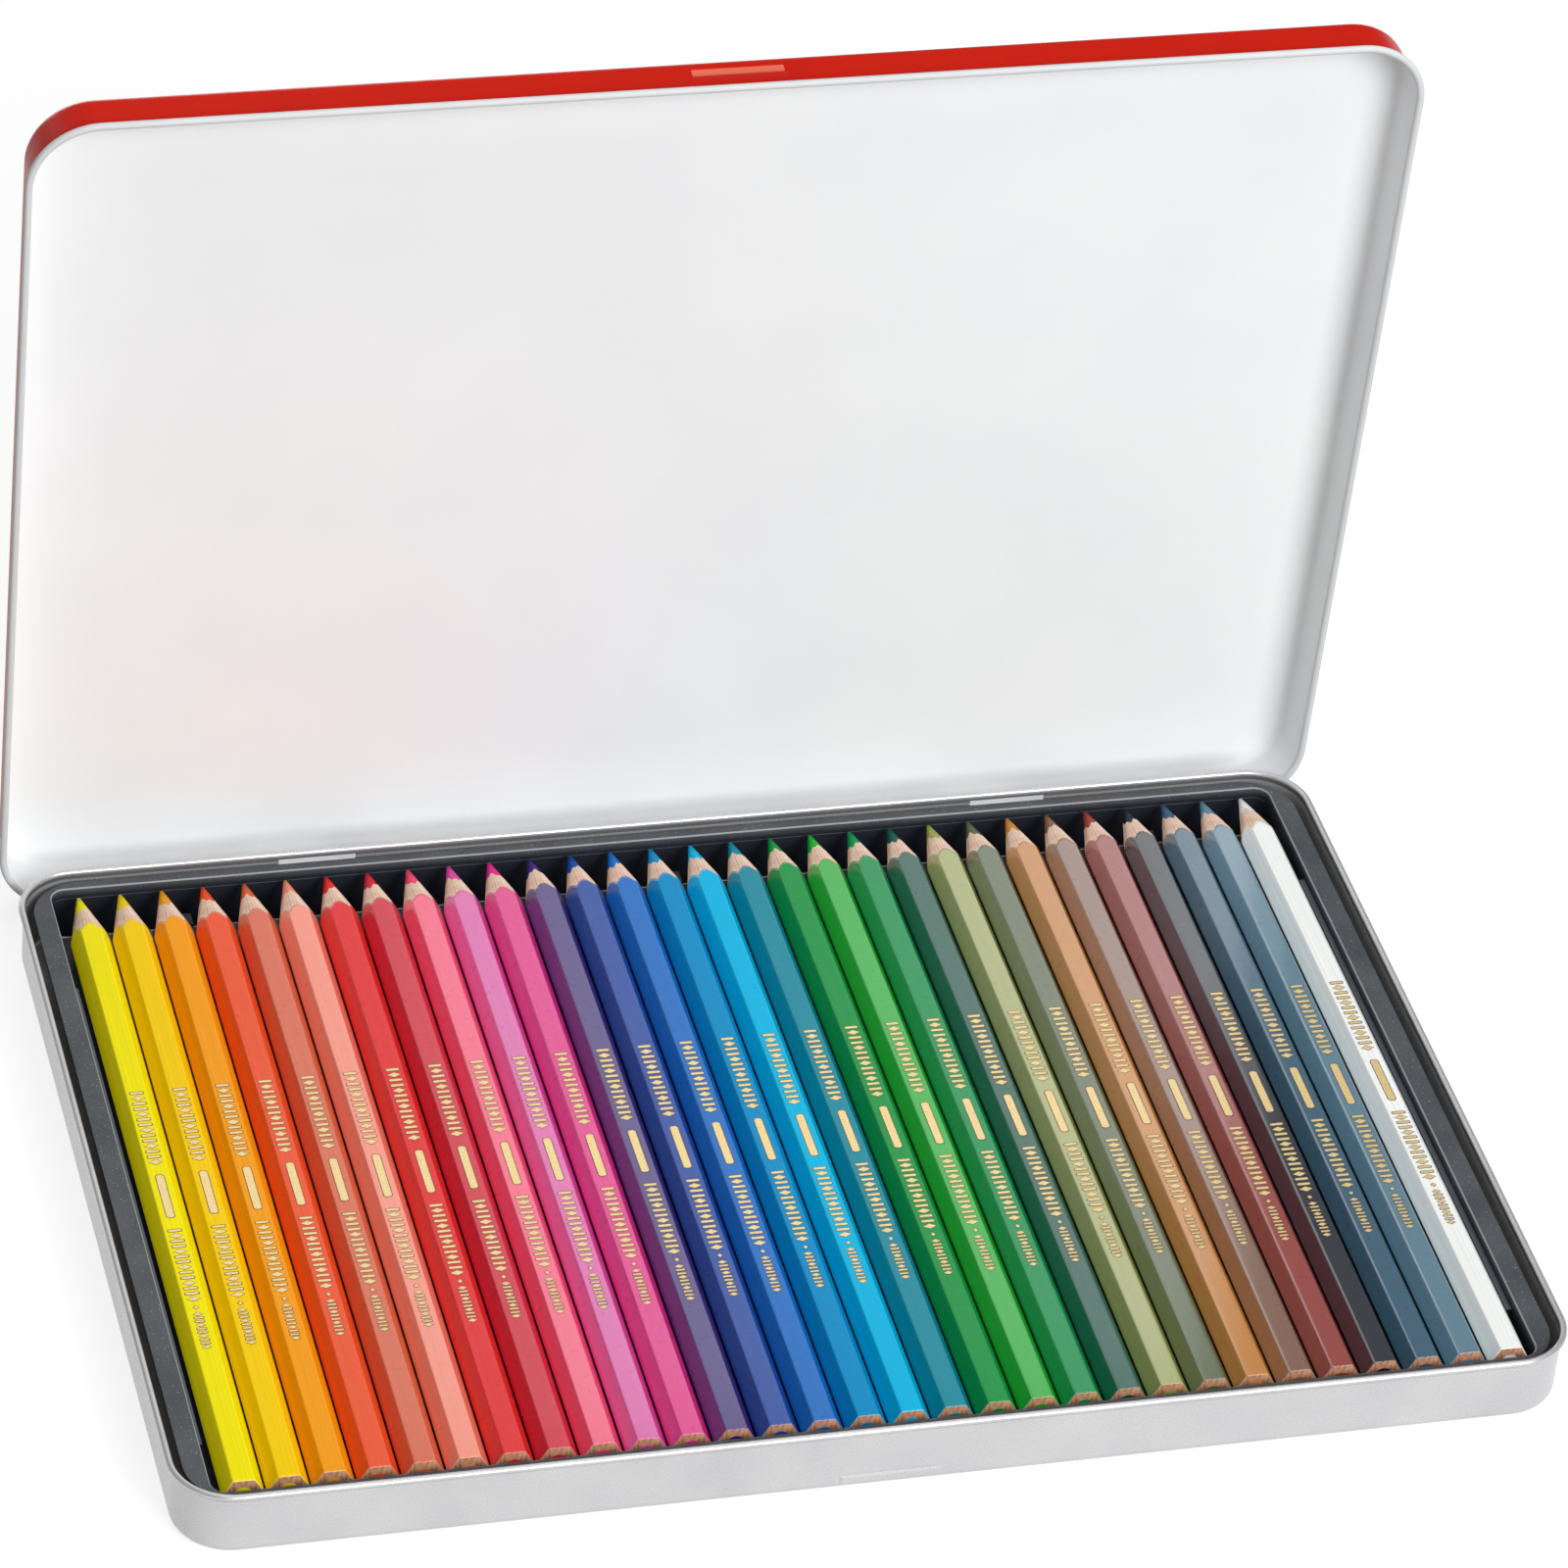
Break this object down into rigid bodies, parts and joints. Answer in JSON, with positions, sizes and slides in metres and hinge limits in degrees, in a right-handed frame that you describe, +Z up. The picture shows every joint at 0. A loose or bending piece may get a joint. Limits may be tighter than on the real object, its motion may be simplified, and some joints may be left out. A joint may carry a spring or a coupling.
{
  "type": "colour pencil tin",
  "caption": "Flat hinged metal tin with a rolled rim and an open lid, holding a row of sharpened hexagonal colour pencils in a formed plastic tray.",
  "frame": {"origin": "middle of the flat underside of the tin", "axes": "+Z up, +X along the length of the tin, the hinge and the pencil tips towards +Y"},
  "size_m": [0.2672, 0.1964, 0.1925],
  "materials": {
    "tin_silver": "satin",
    "lid_red": "gloss",
    "tray_grey": "satin",
    "lacquer_lemon": "gloss",
    "lacquer_golden": "gloss",
    "lacquer_amber": "gloss",
    "lacquer_vermilion": "gloss",
    "lacquer_apricot": "gloss",
    "lacquer_salmon": "gloss",
    "lacquer_scarlet": "gloss",
    "lacquer_carmine": "gloss",
    "lacquer_pink": "gloss",
    "lacquer_lilac": "gloss",
    "lacquer_magenta": "gloss",
    "lacquer_violet": "gloss",
    "lacquer_ultramarine": "gloss",
    "lacquer_blue": "gloss",
    "lacquer_cerulean": "gloss",
    "lacquer_light_blue": "gloss",
    "lacquer_teal": "gloss",
    "lacquer_green": "gloss",
    "lacquer_light_green": "gloss",
    "lacquer_emerald": "gloss",
    "lacquer_dark_green": "gloss",
    "lacquer_light_olive": "gloss",
    "lacquer_dark_olive": "gloss",
    "lacquer_ochre": "gloss",
    "lacquer_brown": "gloss",
    "lacquer_russet": "gloss",
    "lacquer_black": "gloss",
    "lacquer_dark_grey": "gloss",
    "lacquer_blue_grey": "gloss",
    "lacquer_white": "gloss"
  },
  "bodies": {
    "base": {"tin_base": "tin_silver"},
    "lid": {"tin_lid": "lid_red"},
    "tray": {"pencil_tray": "tray_grey"},
    "pencil_01": {"pencil_01_lemon": "lacquer_lemon"},
    "pencil_02": {"pencil_02_golden": "lacquer_golden"},
    "pencil_03": {"pencil_03_amber": "lacquer_amber"},
    "pencil_04": {"pencil_04_vermilion": "lacquer_vermilion"},
    "pencil_05": {"pencil_05_apricot": "lacquer_apricot"},
    "pencil_06": {"pencil_06_salmon": "lacquer_salmon"},
    "pencil_07": {"pencil_07_scarlet": "lacquer_scarlet"},
    "pencil_08": {"pencil_08_carmine": "lacquer_carmine"},
    "pencil_09": {"pencil_09_pink": "lacquer_pink"},
    "pencil_10": {"pencil_10_lilac": "lacquer_lilac"},
    "pencil_11": {"pencil_11_magenta": "lacquer_magenta"},
    "pencil_12": {"pencil_12_violet": "lacquer_violet"},
    "pencil_13": {"pencil_13_ultramarine": "lacquer_ultramarine"},
    "pencil_14": {"pencil_14_blue": "lacquer_blue"},
    "pencil_15": {"pencil_15_cerulean": "lacquer_cerulean"},
    "pencil_16": {"pencil_16_light_blue": "lacquer_light_blue"},
    "pencil_17": {"pencil_17_teal": "lacquer_teal"},
    "pencil_18": {"pencil_18_green": "lacquer_green"},
    "pencil_19": {"pencil_19_light_green": "lacquer_light_green"},
    "pencil_20": {"pencil_20_emerald": "lacquer_emerald"},
    "pencil_21": {"pencil_21_dark_green": "lacquer_dark_green"},
    "pencil_22": {"pencil_22_light_olive": "lacquer_light_olive"},
    "pencil_23": {"pencil_23_dark_olive": "lacquer_dark_olive"},
    "pencil_24": {"pencil_24_ochre": "lacquer_ochre"},
    "pencil_25": {"pencil_25_brown": "lacquer_brown"},
    "pencil_26": {"pencil_26_russet": "lacquer_russet"},
    "pencil_27": {"pencil_27_black": "lacquer_black"},
    "pencil_28": {"pencil_28_dark_grey": "lacquer_dark_grey"},
    "pencil_29": {"pencil_29_blue_grey": "lacquer_blue_grey"},
    "pencil_30": {"pencil_30_white": "lacquer_white"}
  },
  "joints": [
    {"name": "lid_hinge", "type": "hinge", "parent": "base", "child": "lid", "pos_m": [0, 0.09372, 0.00482], "axis": [-1, 0, 0], "range_deg": [-86, 0]},
    {"name": "tray_lift", "type": "slide", "parent": "base", "child": "tray", "axis": [0, 0, 1], "range_m": [0, 0.02]},
    {"name": "pencil_01_lift", "type": "slide", "parent": "tray", "child": "pencil_01", "axis": [0, 0, 1], "range_m": [0, 0.03]},
    {"name": "pencil_02_lift", "type": "slide", "parent": "tray", "child": "pencil_02", "axis": [0, 0, 1], "range_m": [0, 0.03]},
    {"name": "pencil_03_lift", "type": "slide", "parent": "tray", "child": "pencil_03", "axis": [0, 0, 1], "range_m": [0, 0.03]},
    {"name": "pencil_04_lift", "type": "slide", "parent": "tray", "child": "pencil_04", "axis": [0, 0, 1], "range_m": [0, 0.03]},
    {"name": "pencil_05_lift", "type": "slide", "parent": "tray", "child": "pencil_05", "axis": [0, 0, 1], "range_m": [0, 0.03]},
    {"name": "pencil_06_lift", "type": "slide", "parent": "tray", "child": "pencil_06", "axis": [0, 0, 1], "range_m": [0, 0.03]},
    {"name": "pencil_07_lift", "type": "slide", "parent": "tray", "child": "pencil_07", "axis": [0, 0, 1], "range_m": [0, 0.03]},
    {"name": "pencil_08_lift", "type": "slide", "parent": "tray", "child": "pencil_08", "axis": [0, 0, 1], "range_m": [0, 0.03]},
    {"name": "pencil_09_lift", "type": "slide", "parent": "tray", "child": "pencil_09", "axis": [0, 0, 1], "range_m": [0, 0.03]},
    {"name": "pencil_10_lift", "type": "slide", "parent": "tray", "child": "pencil_10", "axis": [0, 0, 1], "range_m": [0, 0.03]},
    {"name": "pencil_11_lift", "type": "slide", "parent": "tray", "child": "pencil_11", "axis": [0, 0, 1], "range_m": [0, 0.03]},
    {"name": "pencil_12_lift", "type": "slide", "parent": "tray", "child": "pencil_12", "axis": [0, 0, 1], "range_m": [0, 0.03]},
    {"name": "pencil_13_lift", "type": "slide", "parent": "tray", "child": "pencil_13", "axis": [0, 0, 1], "range_m": [0, 0.03]},
    {"name": "pencil_14_lift", "type": "slide", "parent": "tray", "child": "pencil_14", "axis": [0, 0, 1], "range_m": [0, 0.03]},
    {"name": "pencil_15_lift", "type": "slide", "parent": "tray", "child": "pencil_15", "axis": [0, 0, 1], "range_m": [0, 0.03]},
    {"name": "pencil_16_lift", "type": "slide", "parent": "tray", "child": "pencil_16", "axis": [0, 0, 1], "range_m": [0, 0.03]},
    {"name": "pencil_17_lift", "type": "slide", "parent": "tray", "child": "pencil_17", "axis": [0, 0, 1], "range_m": [0, 0.03]},
    {"name": "pencil_18_lift", "type": "slide", "parent": "tray", "child": "pencil_18", "axis": [0, 0, 1], "range_m": [0, 0.03]},
    {"name": "pencil_19_lift", "type": "slide", "parent": "tray", "child": "pencil_19", "axis": [0, 0, 1], "range_m": [0, 0.03]},
    {"name": "pencil_20_lift", "type": "slide", "parent": "tray", "child": "pencil_20", "axis": [0, 0, 1], "range_m": [0, 0.03]},
    {"name": "pencil_21_lift", "type": "slide", "parent": "tray", "child": "pencil_21", "axis": [0, 0, 1], "range_m": [0, 0.03]},
    {"name": "pencil_22_lift", "type": "slide", "parent": "tray", "child": "pencil_22", "axis": [0, 0, 1], "range_m": [0, 0.03]},
    {"name": "pencil_23_lift", "type": "slide", "parent": "tray", "child": "pencil_23", "axis": [0, 0, 1], "range_m": [0, 0.03]},
    {"name": "pencil_24_lift", "type": "slide", "parent": "tray", "child": "pencil_24", "axis": [0, 0, 1], "range_m": [0, 0.03]},
    {"name": "pencil_25_lift", "type": "slide", "parent": "tray", "child": "pencil_25", "axis": [0, 0, 1], "range_m": [0, 0.03]},
    {"name": "pencil_26_lift", "type": "slide", "parent": "tray", "child": "pencil_26", "axis": [0, 0, 1], "range_m": [0, 0.03]},
    {"name": "pencil_27_lift", "type": "slide", "parent": "tray", "child": "pencil_27", "axis": [0, 0, 1], "range_m": [0, 0.03]},
    {"name": "pencil_28_lift", "type": "slide", "parent": "tray", "child": "pencil_28", "axis": [0, 0, 1], "range_m": [0, 0.03]},
    {"name": "pencil_29_lift", "type": "slide", "parent": "tray", "child": "pencil_29", "axis": [0, 0, 1], "range_m": [0, 0.03]},
    {"name": "pencil_30_lift", "type": "slide", "parent": "tray", "child": "pencil_30", "axis": [0, 0, 1], "range_m": [0, 0.03]}
  ]
}
